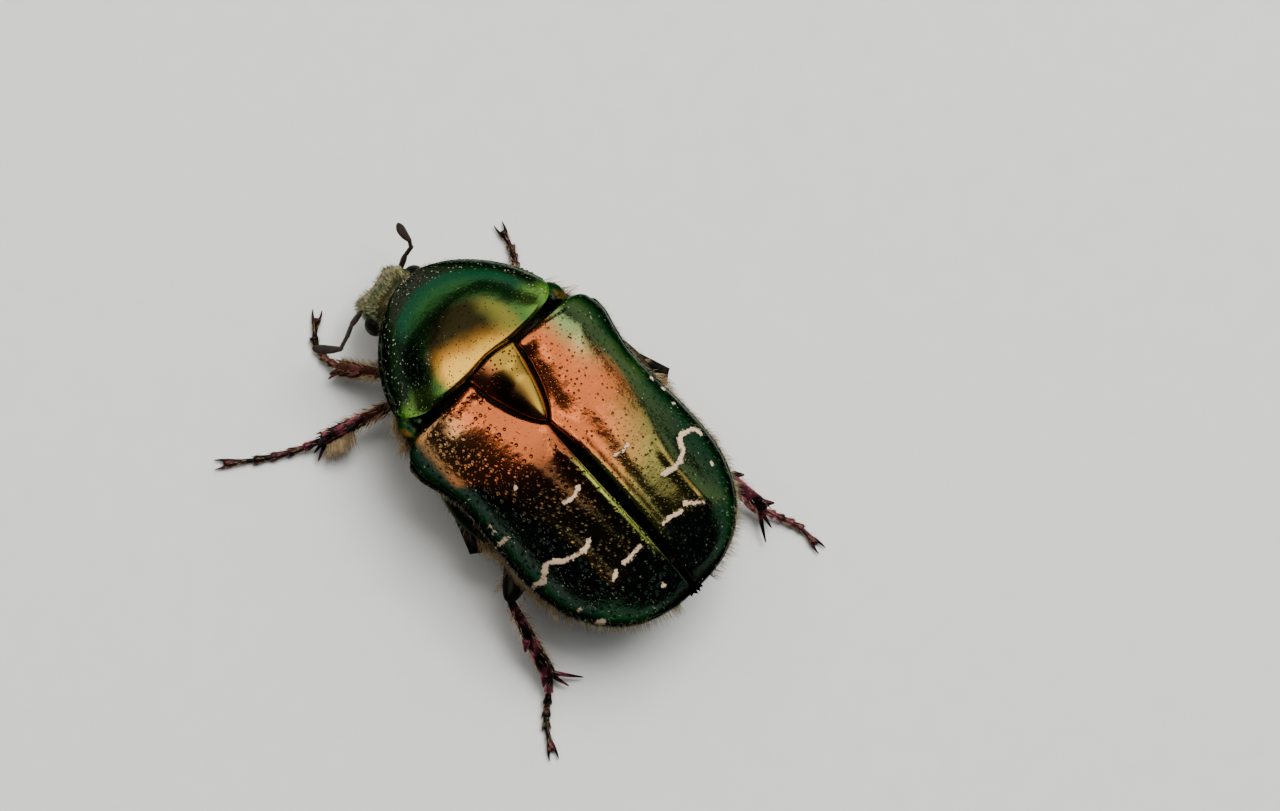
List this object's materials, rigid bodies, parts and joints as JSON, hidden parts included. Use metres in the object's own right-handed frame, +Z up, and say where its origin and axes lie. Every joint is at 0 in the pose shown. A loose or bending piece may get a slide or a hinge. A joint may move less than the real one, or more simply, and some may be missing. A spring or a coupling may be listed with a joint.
{
  "type": "rose chafer beetle",
  "caption": "Life-size rose chafer, a metallic green and copper flower beetle, standing on all its feet with its wing cases closed.",
  "frame": {"origin": "on the floor, under the middle of the beetle's bounding box", "axes": "+Z up, -Y towards the head, +Y towards the tail, +X towards the beetle's own left side"},
  "size_m": [0.0164, 0.0214, 0.0079],
  "materials": {
    "elytra_shell": "metallic copper and green, satin to glossy",
    "thorax_shell": "metallic emerald to gold, glossy",
    "scutellum_shell": "metallic gold and copper, glossy",
    "underside": "dark bronze-green, satin, hairy",
    "legs": "dark red-violet metallic, satin, hairy",
    "eyes": "black, glossy",
    "antennae": "dark brown, satin"
  },
  "bodies": {
    "root": {"prothorax": "thorax_shell", "left_elytron": "elytra_shell", "right_elytron": "elytra_shell", "scutellum": "scutellum_shell", "hind_thorax": "underside", "abdomen": "underside", "pygidium": "thorax_shell", "left_mesepimeron": "thorax_shell", "right_mesepimeron": "thorax_shell", "left_eye": "eyes", "right_eye": "eyes", "head": "underside", "left_antenna": "antennae", "right_antenna": "antennae", "front_left_coxa": "underside", "front_left_femur": "underside", "front_left_tibia": "legs", "front_left_tarsus": "legs", "front_right_coxa": "underside", "front_right_femur": "underside", "front_right_tibia": "legs", "front_right_tarsus": "legs", "middle_left_coxa": "underside", "middle_left_femur": "underside", "middle_left_tibia": "legs", "middle_left_tarsus": "legs", "middle_right_coxa": "underside", "middle_right_femur": "underside", "middle_right_tibia": "legs", "middle_right_tarsus": "legs", "hind_left_coxa": "underside", "hind_left_femur": "underside", "hind_left_tibia": "legs", "hind_left_tarsus": "legs", "hind_right_coxa": "underside", "hind_right_femur": "underside", "hind_right_tibia": "legs", "hind_right_tarsus": "legs"}
  },
  "joints": []
}
